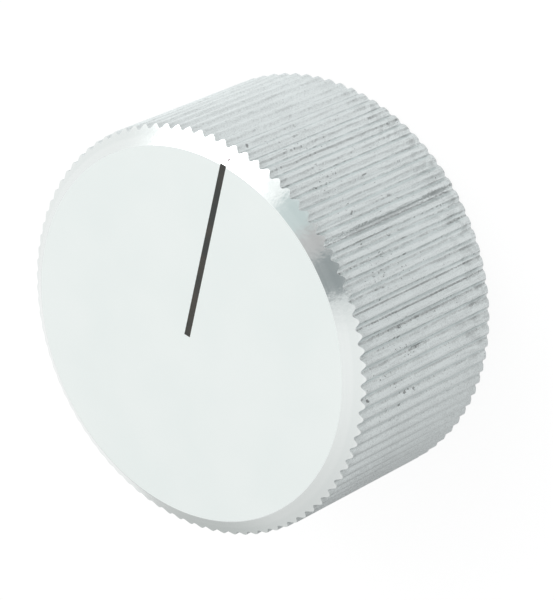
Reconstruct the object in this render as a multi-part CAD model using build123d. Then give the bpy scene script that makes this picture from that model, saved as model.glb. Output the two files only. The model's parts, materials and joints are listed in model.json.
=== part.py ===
from build123d import *
from math import acos, degrees, pi, radians, tan
import os

# A solid turned knob with a straight knurl, for a 6 mm control shaft. All sizes are in millimetres.
# The shaft's axis is Z. The knob stands on its rear face, at Z = 0, and its front face looks up.
# The pointer line runs from the axis towards +Y, and the set screw comes in from -Y.

# Turned outside
knob_diameter = 38.0  # over the crests of the knurl
knob_length = 19.3
front_chamfer_width = 1.66  # from the crests inwards
front_chamfer_height = 1.22  # along the axis

# Straight knurl, as a wheel of this pitch rolls it
knurl_pitch = 1.3  # round the rim, from one crest to the next
knurl_depth = 0.41
crest_rounding = 0.22  # radius, as a share of the pitch
root_land = 0.18  # width of the flat at the foot of a groove, as a share of the pitch

# Shaft hole
shaft_diameter = 6.0
shaft_clearance = 0.03  # on the radius
front_wall = 4.3  # metal between the end of the bore's straight wall and the front face
drill_point_angle = 118.0
bore_lead = 0.5

# Recess round the shaft, for the control's own nut and washer
recess_diameter = 18.0
recess_depth = 4.5
recess_chamfer = 0.3

# Pointer line: a shallow groove filled with paint
pointer_width = 0.65
pointer_depth = 0.06
paint_recess = 0.01  # how far the dried paint lies below the face

# Set screw, M3 with a hexagon socket and a cup point
screw_diameter = 3.0
screw_length = 8.0
screw_clearance = 0.04  # on the radius, between the screw and its hole
screw_back_off = 0.35  # from the bore's wall to the screw's tip, with no shaft in the knob
screw_edge = 0.3  # chamfer round the socket
cup_diameter = 1.4
cup_depth = 0.4
socket_across_flats = 1.5
socket_depth = 2.0
screw_hole_countersink = 0.5

# How far a cutter runs past the surface that it cuts
overrun = 1.0

knob_radius = knob_diameter / 2
tooth_count = round(pi * knob_diameter / knurl_pitch)
bore_radius = shaft_diameter / 2 + shaft_clearance
bore_end = knob_length - front_wall
screw_radius = screw_diameter / 2
screw_hole_radius = screw_radius + screw_clearance
screw_height = (recess_depth + bore_end) / 2


def turned(points):
    """The solid that an outline of (radius, height) points makes when it is turned about Z."""
    outline = Plane.XZ * make_face(Polyline(*points, close=True))
    return revolve(outline, Axis.Z)


def polar(radius, angle):
    """A point on the XY plane, from its radius and its angle in degrees."""
    return Vector(radius, 0).rotate(Axis.Z, angle)


def knurl_section():
    """The knurl's outline: round crests, and straight flanks that run from them to narrow flat roots."""
    rounding = crest_rounding * knurl_pitch
    step = 360 / tooth_count
    root_radius = knob_radius - knurl_depth
    foot_angle = (1 - root_land) * step / 2

    # The flank is the line from its foot that touches the crest's circle
    crest_centre = polar(knob_radius - rounding, 0)
    to_foot = polar(root_radius, foot_angle) - crest_centre
    lean = degrees(acos(rounding / to_foot.length))
    flank_top = crest_centre + to_foot.normalized().rotate(Axis.Z, -lean) * rounding
    top_angle = flank_top.get_angle(Axis.X.direction)

    edges = []
    for tooth in range(tooth_count):
        crest = step * tooth
        before = polar(flank_top.length, crest - top_angle)
        after = polar(flank_top.length, crest + top_angle)
        foot = polar(root_radius, crest + foot_angle)
        next_foot = polar(root_radius, crest + step - foot_angle)
        edges += [
            ThreePointArc(before, polar(knob_radius, crest), after),
            Line(after, foot),
            Line(foot, next_foot),
            Line(next_foot, polar(flank_top.length, crest + step - top_angle)),
        ]
    return make_face(edges)


def turned_blank():
    """The lathe's envelope: flat ends and the front chamfer, left wider than the knurl."""
    front_slope = front_chamfer_height / front_chamfer_width
    return turned([
        (0, 0),
        (knob_radius + overrun, 0),
        (knob_radius + overrun, knob_length - front_chamfer_height - overrun * front_slope),
        (knob_radius - front_chamfer_width, knob_length),
        (0, knob_length),
    ])


def shaft_hole():
    """Everything cut from the rear on the axis: the nut's recess and the blind bore with its drill point."""
    recess_radius = recess_diameter / 2
    drill_point = bore_radius / tan(radians(drill_point_angle / 2))
    return turned([
        (0, -overrun),
        (recess_radius + recess_chamfer + overrun, -overrun),
        (recess_radius, recess_chamfer),
        (recess_radius, recess_depth),
        (bore_radius + bore_lead, recess_depth),
        (bore_radius, recess_depth + bore_lead),
        (bore_radius, bore_end),
        (0, bore_end + drill_point),
    ])


def on_screw_axis(start):
    """A plane across the set screw's axis, this far from the knob's axis, facing the rim."""
    return Plane(origin=(0, -start, screw_height), x_dir=(1, 0, 0), z_dir=(0, -1, 0))


def screw_hole():
    """The set screw's hole, from the bore out through the rim, with a countersunk mouth."""
    mouth_radius = screw_hole_radius + screw_hole_countersink
    profile = turned([
        (0, 0),
        (screw_hole_radius, 0),
        (screw_hole_radius, knob_radius - screw_hole_countersink),
        (mouth_radius + overrun, knob_radius + overrun),
        (0, knob_radius + overrun),
    ])
    return on_screw_axis(0) * profile


def pointer_bar(top):
    """A bar along the pointer line, from the axis out past the rim, between the groove's floor and top."""
    floor = knob_length - pointer_depth
    bar = Box(
        pointer_width,
        knob_radius + overrun,
        top - floor,
        align=(Align.CENTER, Align.MIN, Align.MIN),
    )
    return Pos(0, 0, floor) * bar


def knob_body():
    """The knob, turned, knurled and chamfered from one bar of aluminium."""
    knurled = extrude(knurl_section(), knob_length)
    body = knurled & turned_blank()
    body -= shaft_hole()
    body -= screw_hole()
    body -= pointer_bar(knob_length + overrun)
    return body


def pointer_line():
    """The paint in the pointer's groove. Its outer end was cut with the chamfer."""
    return pointer_bar(knob_length - paint_recess) & turned_blank()


def set_screw():
    """The set screw, backed off clear of the bore. Its cup faces the shaft and its socket the rim."""
    cup_radius = cup_diameter / 2
    blank = turned([
        (0, cup_depth),
        (cup_radius, 0),
        (screw_radius, screw_radius - cup_radius),
        (screw_radius, screw_length - screw_edge),
        (screw_radius - screw_edge, screw_length),
        (0, screw_length),
    ])
    hexagon = RegularPolygon(socket_across_flats / 2, 6, major_radius=False)
    socket = Pos(0, 0, screw_length - socket_depth) * extrude(hexagon, socket_depth + overrun)
    return on_screw_axis(bore_radius + screw_back_off) * (blank - socket)


os.makedirs("parts", exist_ok=True)
for make in (knob_body, pointer_line, set_screw):
    export_step(make(), f"parts/{make.__name__}.step")
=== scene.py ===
# %% [markdown]
# # A knurled control knob
#
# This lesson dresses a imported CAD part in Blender. The part is a solid aluminium knob, 38 mm across and
# 19 mm high, with a straight knurl round its rim, a bright chamfer, a satin face and a black pointer
# line.
#
# We load the CAD model first. It is fixed: every piece that we make here has to lie where the CAD says.
# The scene is in metres, and sizes below are written in millimetres and turned into metres by `mm`.

# %% Load the CAD model
import json
from math import cos, pi, radians, sin, tan

import bpy
from mathutils import Matrix, Vector


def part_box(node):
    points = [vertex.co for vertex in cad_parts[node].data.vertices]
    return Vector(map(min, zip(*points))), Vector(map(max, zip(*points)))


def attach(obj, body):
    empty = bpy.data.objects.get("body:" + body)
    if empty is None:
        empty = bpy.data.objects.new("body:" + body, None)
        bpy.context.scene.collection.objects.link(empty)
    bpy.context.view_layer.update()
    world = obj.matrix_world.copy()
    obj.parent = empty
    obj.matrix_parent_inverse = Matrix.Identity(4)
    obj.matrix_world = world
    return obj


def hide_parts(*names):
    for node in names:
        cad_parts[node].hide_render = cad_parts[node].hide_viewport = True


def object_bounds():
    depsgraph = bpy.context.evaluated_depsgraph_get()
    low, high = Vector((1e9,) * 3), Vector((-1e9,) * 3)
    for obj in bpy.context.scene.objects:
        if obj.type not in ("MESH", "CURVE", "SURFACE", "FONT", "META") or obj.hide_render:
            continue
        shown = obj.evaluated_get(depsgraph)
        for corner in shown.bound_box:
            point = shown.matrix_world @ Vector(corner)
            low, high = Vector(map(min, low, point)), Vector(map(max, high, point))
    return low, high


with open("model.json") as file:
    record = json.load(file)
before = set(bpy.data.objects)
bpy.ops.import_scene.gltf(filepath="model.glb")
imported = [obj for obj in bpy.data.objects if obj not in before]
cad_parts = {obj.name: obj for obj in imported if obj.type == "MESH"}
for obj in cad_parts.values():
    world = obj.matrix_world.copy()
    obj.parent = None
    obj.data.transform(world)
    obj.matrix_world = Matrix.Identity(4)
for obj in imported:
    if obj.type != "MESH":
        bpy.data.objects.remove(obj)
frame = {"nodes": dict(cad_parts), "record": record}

mm = 0.001
hair = 0.01 * mm  # a margin for telling places apart
cad_low, cad_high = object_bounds()
print("CAD box in mm:", [round(c / mm, 2) for c in (*cad_low, *cad_high)])

# %% [markdown]
# ## The sizes that everything hangs on
#
# The outside sizes come from the CAD box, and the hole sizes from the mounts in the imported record. So the
# dressed knob follows the CAD model if somebody changes it. Only what the record doesn't give is written
# here again, such as the chamfer and the pitch of the knurl.

# %% Sizes from the CAD model
mounts = {mount["name"]: mount for mount in frame["record"]["mounts"]}

knob_radius = cad_high.x
knob_length = cad_high.z
bore_radius = mounts["shaft_bore"]["dims"]["r_mm"] * mm
bore_end = mounts["shaft_bore"]["pos_m"][2] + mounts["shaft_bore"]["dims"]["length_mm"] * mm / 2
recess_radius = mounts["nut_recess"]["dims"]["r_mm"] * mm
pointer_low, pointer_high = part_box("pointer_line")
pointer_width = pointer_high.x - pointer_low.x
pointer_depth = knob_length - pointer_low.z
screw_low, screw_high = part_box("set_screw")
screw_radius = screw_high.x
screw_height = (screw_low.z + screw_high.z) / 2
screw_tip = -screw_high.y
screw_end = -screw_low.y

print("knob radius, length:", knob_radius / mm, knob_length / mm, "mm")
print("bore radius, end:", bore_radius / mm, bore_end / mm, "mm")
print("pointer width, depth:", round(pointer_width / mm, 3), round(pointer_depth / mm, 3), "mm")
print("screw from", screw_tip / mm, "to", screw_end / mm, "mm, at height", screw_height / mm, "mm")

# %% Sizes of the turned outline and the holes
chamfer_width, chamfer_height = 1.66 * mm, 1.22 * mm
face_radius = knob_radius - chamfer_width
chamfer_foot = knob_length - chamfer_height
rear_chamfer = 0.22 * mm  # across the ends of the teeth, so that the rear edge isn't sharp

recess_depth, recess_chamfer = 4.5 * mm, 0.3 * mm
bore_lead = 0.5 * mm
drill_angle = 118  # degrees
drill_point = bore_radius / tan(radians(drill_angle / 2))

knurl_pitch = 1.3 * mm
knurl_depth = 0.41 * mm
tooth_count = round(2 * pi * knob_radius / knurl_pitch)

print("teeth in the knurl:", tooth_count)

# %% [markdown]
# ## Small helpers for node trees
#
# Geometry Nodes and shader nodes are both node trees, and both hold a lot of arithmetic. Written out in
# full, one addition takes five lines of script. So we make a small sheet for a tree, whose methods add a
# node, plug values or other nodes into it, and give back its output. After that, a formula reads nearly
# like a formula.

# %% A sheet to write a node tree on
class Sheet:
    """A node tree with short words for adding and joining nodes."""

    def __init__(self, tree):
        self.tree = tree

    def plug(self, socket, value):
        """Joins a socket to another node's output, or sets its value."""
        if isinstance(value, bpy.types.NodeSocket):
            self.tree.links.new(value, socket)
        else:
            socket.default_value = value

    def node(self, kind, settings=None, **inputs):
        """Adds a node, gives it its settings, and plugs its inputs by name, with _ for a space."""
        made = self.tree.nodes.new(kind)
        for name, value in (settings or {}).items():
            setattr(made, name, value)
        for name, value in inputs.items():
            wanted = name.replace("_", " ")
            socket = next(s for s in made.inputs if s.enabled and s.name == wanted)
            self.plug(socket, value)
        return made

    def group(self, tree, **inputs):
        """One use of a node group, with its own values. Gives back its outputs."""
        is_shader = self.tree.type == "SHADER"
        made = self.tree.nodes.new("ShaderNodeGroup" if is_shader else "GeometryNodeGroup")
        made.node_tree = tree
        for name, value in inputs.items():
            self.plug(made.inputs[name.replace("_", " ")], value)
        return made.outputs

    def math(self, operation, *values):
        """One Math node, with its values in order."""
        made = self.tree.nodes.new("ShaderNodeMath")
        made.operation = operation
        for socket, value in zip(made.inputs, values):
            self.plug(socket, value)
        return made.outputs[0]

    def total(self, *values):
        """All the values added together."""
        result = values[0]
        for value in values[1:]:
            result = self.math("ADD", result, value)
        return result

    def product(self, *values):
        """All the values multiplied together."""
        result = values[0]
        for value in values[1:]:
            result = self.math("MULTIPLY", result, value)
        return result

    def minus(self, first, second):
        """The first value less the second."""
        return self.math("SUBTRACT", first, second)

    def over(self, first, second):
        """The first value divided by the second."""
        return self.math("DIVIDE", first, second)

    def larger(self, first, second):
        """The larger of two values."""
        return self.math("MAXIMUM", first, second)

    def smaller(self, first, second):
        """The smaller of two values."""
        return self.math("MINIMUM", first, second)

    def above(self, first, second):
        """1 where the first value is above the second, 0 elsewhere."""
        return self.math("GREATER_THAN", first, second)

    def below(self, first, second):
        """1 where the first value is below the second, 0 elsewhere."""
        return self.math("LESS_THAN", first, second)

    def length(self, x, y):
        """The length of a flat vector, from its two parts."""
        return self.math("SQRT", self.total(self.product(x, x), self.product(y, y)))

    def choose(self, mask, where_one, where_zero):
        """One value where the mask is 1, and the other where it is 0."""
        return self.total(
            self.product(where_one, mask),
            self.product(where_zero, self.minus(1.0, mask)),
        )

    def ramp(self, value, start, end, low=0.0, high=1.0):
        """A smooth step: low before start, high after end."""
        made = self.node("ShaderNodeMapRange", {"interpolation_type": "SMOOTHSTEP"})
        for socket, number in zip(made.inputs, (value, start, end, low, high)):
            self.plug(socket, number)
        return made.outputs[0]

    def split(self, vector):
        """The X, Y and Z of a vector."""
        return self.node("ShaderNodeSeparateXYZ", Vector=vector).outputs

    def join(self, x, y, z):
        """A vector from its X, Y and Z."""
        return self.node("ShaderNodeCombineXYZ", X=x, Y=y, Z=z).outputs[0]


def new_group(name, kind, inputs, outputs):
    """A node group with named inputs and outputs. Each input is a name, a socket type and a value or None."""
    tree = bpy.data.node_groups.new(name, kind)
    for label, socket_type, value in inputs:
        socket = tree.interface.new_socket(name=label, in_out="INPUT", socket_type=socket_type)
        if value is not None:
            socket.default_value = value
    for label, socket_type in outputs:
        tree.interface.new_socket(name=label, in_out="OUTPUT", socket_type=socket_type)
    sheet = Sheet(tree)
    given = tree.nodes.new("NodeGroupInput").outputs
    result = tree.nodes.new("NodeGroupOutput").inputs
    return sheet, given, result


def report(made):
    """Says what a finished node group or material holds."""
    tree = getattr(made, "node_tree", made)
    print(made.name, "is made of", len(tree.nodes), "nodes")


# %% [markdown]
# ## Turning: a lathe made of nodes
#
# A lathe makes a round thing from an outline. In Blender that could be the Screw modifier or bmesh's
# spin. We use Geometry Nodes, because the next steps have to know where each point came from. The outline
# goes in as a mesh of points and edges. The tree sweeps it round a circle, and each point keeps three
# values: how far round it is, its radius and its height. Curve to Mesh is only used for its grid of
# faces: the place is worked out from the values.

# %% The lathe
def lathe_group():
    """Turns an outline about Z. The outline's X is the radius and its Z is the height."""
    sheet, given, result = new_group("turn_on_lathe", "GeometryNodeTree", [
        ("Outline", "NodeSocketGeometry", None),
        ("Columns", "NodeSocketInt", 64),
    ], [
        ("Mesh", "NodeSocketGeometry"),
        ("Turn", "NodeSocketFloat"),
        ("Radius", "NodeSocketFloat"),
        ("Height", "NodeSocketFloat"),
    ])
    outline = sheet.node("GeometryNodeMeshToCurve", Mesh=given["Outline"]).outputs[0]
    place = sheet.split(sheet.node("GeometryNodeInputPosition").outputs[0])
    for name, value in (("outline_radius", place[0]), ("outline_height", place[2])):
        outline = store(sheet, outline, name, value)

    circle = sheet.node("GeometryNodeCurvePrimitiveCircle", Resolution=given["Columns"]).outputs[0]
    index = sheet.node("GeometryNodeInputIndex").outputs[0]
    circle = store(sheet, circle, "turn", sheet.over(index, given["Columns"]))

    swept = sheet.node("GeometryNodeCurveToMesh", Curve=circle, Profile_Curve=outline).outputs[0]
    turn, radius, height = (stored(sheet, name) for name in ("turn", "outline_radius", "outline_height"))
    sheet.plug(result["Mesh"], place_round(sheet, swept, turn, radius, height))
    sheet.plug(result["Turn"], turn)
    sheet.plug(result["Radius"], radius)
    sheet.plug(result["Height"], height)
    return sheet.tree


def store(sheet, geometry, name, value):
    """Keeps a number with each point, under a name."""
    made = sheet.node("GeometryNodeStoreNamedAttribute", Geometry=geometry, Name=name, Value=value)
    return made.outputs[0]


def stored(sheet, name):
    """The number that was kept with each point under this name."""
    return sheet.node("GeometryNodeInputNamedAttribute", Name=name).outputs[0]


def place_round(sheet, mesh, turn, radius, height):
    """Puts each point at its radius and height, this share of a full turn from +X."""
    angle = sheet.product(turn, 2 * pi)
    place = sheet.join(
        sheet.product(radius, sheet.math("COSINE", angle)),
        sheet.product(radius, sheet.math("SINE", angle)),
        height,
    )
    return sheet.node("GeometryNodeSetPosition", Geometry=mesh, Position=place).outputs[0]


lathe = lathe_group()
report(lathe)

# %% [markdown]
# ## The outline of the blank
#
# The outline runs from the middle of the face out to the rim, down, and back in along the rear face, the
# nut recess and the bore. Every outline here runs from the top of the axis to its bottom, which is the
# way round that makes the turned faces point outwards. Where two surfaces meet at a rounded edge, a few
# points stand close together. The rim gets evenly spaced points from end to end, so that small flaws in
# the knurl have something to move.

# %% Outline points
def steps(start, end, count):
    """Points from start to end, both included, as (radius, height)."""
    a, b = Vector(start), Vector(end)
    return [tuple(a.lerp(b, i / count)) for i in range(count + 1)]


def outline_object(name, points, kinds=None):
    """A chain of points for the lathe. Each point can have a kind, which the tree reads as a number."""
    mesh = bpy.data.meshes.new(name)
    edges = [(i, i + 1) for i in range(len(points) - 1)]
    mesh.from_pydata([(radius, 0, height) for radius, height in points], edges, [])
    if kinds:
        attribute = mesh.attributes.new("kind", "FLOAT", "POINT")
        attribute.data.foreach_set("value", kinds)
    made = bpy.data.objects.new(name, mesh)
    bpy.context.scene.collection.objects.link(made)
    return made


rim_rows = 44
face_edge = 0.035 * mm  # how far the round between face and chamfer reaches each way
slope = chamfer_height / chamfer_width
face_edge_drop = face_edge * slope

blank_points = [
    (0, knob_length),
    (0.6 * face_radius, knob_length),
    (face_radius - 3 * face_edge, knob_length),
    (face_radius - face_edge, knob_length),
    (face_radius - 0.1 * face_edge, knob_length - 0.22 * face_edge_drop),
    (face_radius + face_edge, knob_length - face_edge_drop),
    *steps((face_radius + 3 * face_edge, knob_length - 3 * face_edge_drop), (knob_radius, chamfer_foot), 3),
    *steps((knob_radius, chamfer_foot - 0.05 * mm), (knob_radius, rear_chamfer), rim_rows),
    *steps((knob_radius, 0.75 * rear_chamfer), (knob_radius, 0), 3),
    (knob_radius - 2 * rear_chamfer, 0),
    (recess_radius + recess_chamfer, 0),
    (recess_radius, recess_chamfer),
    (recess_radius, recess_depth),
    (bore_radius + bore_lead, recess_depth),
    (bore_radius, recess_depth + bore_lead),
    (bore_radius, bore_end),
    (0, bore_end + drill_point),
]
blank_outline = outline_object("turned_knob", blank_points)
print("outline points:", len(blank_points))

# %% [markdown]
# ## The knurl
#
# A knurling wheel presses grooves into the turned rim. We do the same to the mesh. A Float Curve holds
# the section of half a tooth: 0 at the crest and 1 at the root, with a round crest, a straight flank and
# a rounded root.
#
# The wheel also leaves flaws, and the photo shows many. Each groove is a little deeper or shallower than
# the next, because a random number belongs to each tooth. In one place the wheel's marks didn't meet, and
# a crest is split along its whole length. Slow noise makes the grooves waver.
#
# One rule does the rest. Everything outside the face's edge is squeezed inwards in proportion, and the
# chamfer's points slide along its cone. So the chamfer runs out of the grooves in a true zigzag, as a
# cutter would leave it.

# %% Section of a tooth
def tooth_section(sheet, share):
    """Depth of the groove, from 0 to 1, for a share of the way from a crest to a root."""
    curve = sheet.node("ShaderNodeFloatCurve", Value=share)
    points = curve.mapping.curves[0].points
    points[0].location, points[1].location = (0, 0), (1, 1)
    for place in ((0.1, 0.02), (0.3, 0.19), (0.72, 0.82), (0.88, 0.97)):
        points.new(*place)
    curve.mapping.update()
    return curve.outputs[0]


# %% How deep the wheel presses
def groove_depth(sheet, given):
    """How far the wheel pressed a point in, from its place round the rim."""
    turn = given["Turn"]
    along = sheet.product(turn, given["Teeth"])
    share = sheet.product(sheet.math("PINGPONG", along, 0.5), 2)  # 0 at a crest, 1 at a root
    groove = tooth_section(sheet, share)

    # A random number for each groove, and slow noise along it
    chance = sheet.node("FunctionNodeRandomValue", {"data_type": "FLOAT"}, ID=sheet.math("FLOOR", along),
                        Seed=given["Seed"]).outputs[1]
    uneven = sheet.minus(1.0, sheet.product(chance, given["Unevenness"]))
    place = sheet.node("GeometryNodeInputPosition").outputs[0]
    noise = sheet.node("ShaderNodeTexNoise", Vector=place, Scale=0.35 / mm, Detail=3.0).outputs[0]
    waver = sheet.product(sheet.minus(noise, 0.5), given["Waver"], groove)

    # The split crest, where the wheel slipped
    off = sheet.minus(sheet.product(turn, 360), given["Slip Angle"])
    off_mm = sheet.product(sheet.math("ABSOLUTE", off), radians(1) * knob_radius / mm)
    slip = sheet.product(sheet.ramp(off_mm, 0.30, 0.06), given["Slip Depth"])

    depth = sheet.total(sheet.product(groove, uneven, given["Depth"]), waver)
    return sheet.larger(sheet.larger(depth, slip), 0.0)


# %% Where a pressed point goes
def pressed_place(sheet, radius, height, depth):
    """The new radius and height of a point, when the rim beside it is pressed in this deep."""
    squeeze = sheet.minus(1.0, sheet.over(depth, chamfer_width))
    beyond = sheet.larger(sheet.minus(radius, face_radius), 0.0)
    new_radius = sheet.minus(radius, sheet.product(beyond, sheet.minus(1.0, squeeze)))

    # The chamfer's points slide along its cone, and the rim's end follows them
    under_face = sheet.minus(knob_length, height)
    on_chamfer = sheet.minus(knob_length, sheet.product(under_face, squeeze))
    rim_end = sheet.minus(knob_length, sheet.product(squeeze, chamfer_height))
    on_rim = sheet.over(sheet.product(height, rim_end), chamfer_foot)

    is_chamfer = sheet.above(height, chamfer_foot - hair)
    moved = sheet.choose(is_chamfer, on_chamfer, on_rim)
    new_height = sheet.choose(sheet.above(radius, face_radius), moved, height)

    # At the rear a turned chamfer takes off the ends of the teeth, and leaves the roots
    cone = sheet.total(knob_radius - rear_chamfer, sheet.larger(new_height, 0.0))
    return sheet.smaller(new_radius, cone), new_height


# %% Press the knurl
def knurl_group():
    """Presses the knurl into the rim of a turned mesh, and lets the chamfer follow."""
    sheet, given, result = new_group("press_knurl", "GeometryNodeTree", [
        ("Mesh", "NodeSocketGeometry", None),
        ("Turn", "NodeSocketFloat", 0.0),
        ("Radius", "NodeSocketFloat", 0.0),
        ("Height", "NodeSocketFloat", 0.0),
        ("Teeth", "NodeSocketFloat", float(tooth_count)),
        ("Depth", "NodeSocketFloat", knurl_depth),
        ("Unevenness", "NodeSocketFloat", 0.12),
        ("Waver", "NodeSocketFloat", 0.02 * mm),
        ("Slip Angle", "NodeSocketFloat", 53.4),
        ("Slip Depth", "NodeSocketFloat", 0.17 * mm),
        ("Seed", "NodeSocketInt", 4),
    ], [
        ("Mesh", "NodeSocketGeometry"),
    ])
    depth = groove_depth(sheet, given)
    new_radius, new_height = pressed_place(sheet, given["Radius"], given["Height"], depth)
    mesh = store(sheet, given["Mesh"], "groove", sheet.over(depth, knurl_depth))
    sheet.plug(result["Mesh"], place_round(sheet, mesh, given["Turn"], new_radius, new_height))
    return sheet.tree


knurl = knurl_group()
report(knurl)

# %% [markdown]
# ## The thread
#
# The set screw is M3, and its hole is tapped to match. A thread is a radius that falls and rises again
# with each pitch of height, and the pattern moves up by one pitch in one turn. That is one line of
# arithmetic on the same three values that the lathe gives. The screw and its hole use the same group, the
# hole with a little clearance.

# %% Cut a thread
thread_pitch = 0.5 * mm
thread_depth = 0.28 * mm
thread_rows = 6  # rows of points in one pitch


def thread_group():
    """Cuts a thread where the outline's kind is 1, and a hexagon where it is 2."""
    sheet, given, result = new_group("cut_thread", "GeometryNodeTree", [
        ("Mesh", "NodeSocketGeometry", None),
        ("Turn", "NodeSocketFloat", 0.0),
        ("Radius", "NodeSocketFloat", 0.0),
        ("Height", "NodeSocketFloat", 0.0),
        ("Pitch", "NodeSocketFloat", thread_pitch),
        ("Depth", "NodeSocketFloat", thread_depth),
    ], [
        ("Mesh", "NodeSocketGeometry"),
    ])
    turn, radius, height = given["Turn"], given["Radius"], given["Height"]
    kind = stored(sheet, "kind")
    climb = sheet.minus(sheet.over(height, given["Pitch"]), turn)
    wave = sheet.product(sheet.math("PINGPONG", climb, 0.5), 2)
    cut = sheet.product(sheet.ramp(wave, 0.1, 0.9), given["Depth"])
    threaded = sheet.math("COMPARE", kind, 1.0, 0.1)
    hexagonal = sheet.math("COMPARE", kind, 2.0, 0.1)

    # A hexagon's side is nearest to the axis in its middle
    within = sheet.math("FRACT", sheet.product(turn, 6))
    lean = sheet.product(sheet.minus(within, 0.5), radians(60))
    stretch = sheet.over(1.0, sheet.math("COSINE", lean))
    stretch = sheet.total(1.0, sheet.product(hexagonal, sheet.minus(stretch, 1.0)))

    new_radius = sheet.minus(sheet.product(radius, stretch), sheet.product(cut, threaded))
    sheet.plug(result["Mesh"], place_round(sheet, given["Mesh"], turn, new_radius, height))
    return sheet.tree


thread = thread_group()
report(thread)

# %% [markdown]
# ## Shared finishes
#
# Metal is mostly reflection, so its look is in its small marks. Each kind of mark is a shader node group:
# rings left by the lathe's tool, a fine grain, lines along the teeth, streaks and specks, and single
# marks in chosen places. One more group finds where a point lies on the rim. They all work in Object
# coordinates, so the marks stay on the metal when the knob is seen from another side.

# %% Object coordinates in millimetres
def in_millimetres(sheet):
    """The place of a point on the object, in millimetres."""
    place = sheet.node("ShaderNodeTexCoord").outputs["Object"]
    scaled = sheet.node("ShaderNodeVectorMath", {"operation": "SCALE"}, Vector=place)
    scaled.inputs["Scale"].default_value = 1 / mm
    return scaled.outputs[0]


# %% Rings from the lathe's tool
def lathe_marks_group():
    """Rings round the axis, of uneven strength. Height goes into a Bump node."""
    sheet, given, result = new_group("lathe_marks", "ShaderNodeTree", [
        ("Rings per mm", "NodeSocketFloat", 12.0),
        ("Unevenness", "NodeSocketFloat", 0.5),
    ], [
        ("Height", "NodeSocketFloat"),
        ("Streaks", "NodeSocketFloat"),
    ])
    x, y, z = sheet.split(in_millimetres(sheet))
    radius = sheet.length(x, y)
    wander = sheet.total(radius, sheet.product(z, 0.37))
    fine = sheet.node("ShaderNodeTexNoise", {"noise_dimensions": "1D"}, W=wander, Scale=given["Rings per mm"],
                      Detail=2.0).outputs[0]
    broad = sheet.node("ShaderNodeTexNoise", {"noise_dimensions": "1D"}, W=wander,
                       Scale=sheet.product(given["Rings per mm"], 0.12), Detail=1.0).outputs[0]
    uneven = sheet.total(1.0, sheet.product(sheet.minus(broad, 0.5), given["Unevenness"], 2.0))
    sheet.plug(result["Height"], sheet.product(fine, uneven))
    sheet.plug(result["Streaks"], broad)
    return sheet.tree


lathe_marks = lathe_marks_group()
report(lathe_marks)

# %% Fine grain
def grain_group():
    """A fine, even grain, with slow patches where it is a little stronger."""
    sheet, given, result = new_group("metal_grain", "ShaderNodeTree", [
        ("Grains per mm", "NodeSocketFloat", 8.0),
        ("Patch per mm", "NodeSocketFloat", 0.15),
    ], [
        ("Height", "NodeSocketFloat"),
        ("Patches", "NodeSocketFloat"),
    ])
    place = in_millimetres(sheet)
    fine = sheet.node("ShaderNodeTexNoise", Vector=place, Scale=given["Grains per mm"], Detail=3.0).outputs[0]
    slow = sheet.node("ShaderNodeTexNoise", Vector=place, Scale=given["Patch per mm"], Detail=2.0).outputs[0]
    sheet.plug(result["Height"], fine)
    sheet.plug(result["Patches"], slow)
    return sheet.tree


grain = grain_group()
report(grain)

# %% Where a point lies on the rim
def rim_place_group():
    """Finds a point's place on the rim.

    Across is its place across its tooth: 0 on the crest, 0.5 either way at the roots. Tooth is the tooth's
    number. Arc is how far it is round the rim from +X, and Height how far above the rear face, both in
    millimetres.
    """
    sheet, given, result = new_group("rim_place", "ShaderNodeTree", [
        ("Teeth", "NodeSocketFloat", float(tooth_count)),
        ("Radius", "NodeSocketFloat", knob_radius / mm),
    ], [
        ("Across", "NodeSocketFloat"),
        ("Tooth", "NodeSocketFloat"),
        ("Arc", "NodeSocketFloat"),
        ("Height", "NodeSocketFloat"),
    ])
    x, y, z = sheet.split(in_millimetres(sheet))
    angle = sheet.math("ARCTAN2", y, x)
    along = sheet.product(angle, 1 / (2 * pi), given["Teeth"])
    nearest = sheet.math("ROUND", along)
    sheet.plug(result["Across"], sheet.minus(along, nearest))
    sheet.plug(result["Tooth"], sheet.math("FLOORED_MODULO", nearest, given["Teeth"]))
    sheet.plug(result["Arc"], sheet.product(angle, given["Radius"]))
    sheet.plug(result["Height"], z)
    return sheet.tree


rim_place = rim_place_group()
report(rim_place)

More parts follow.
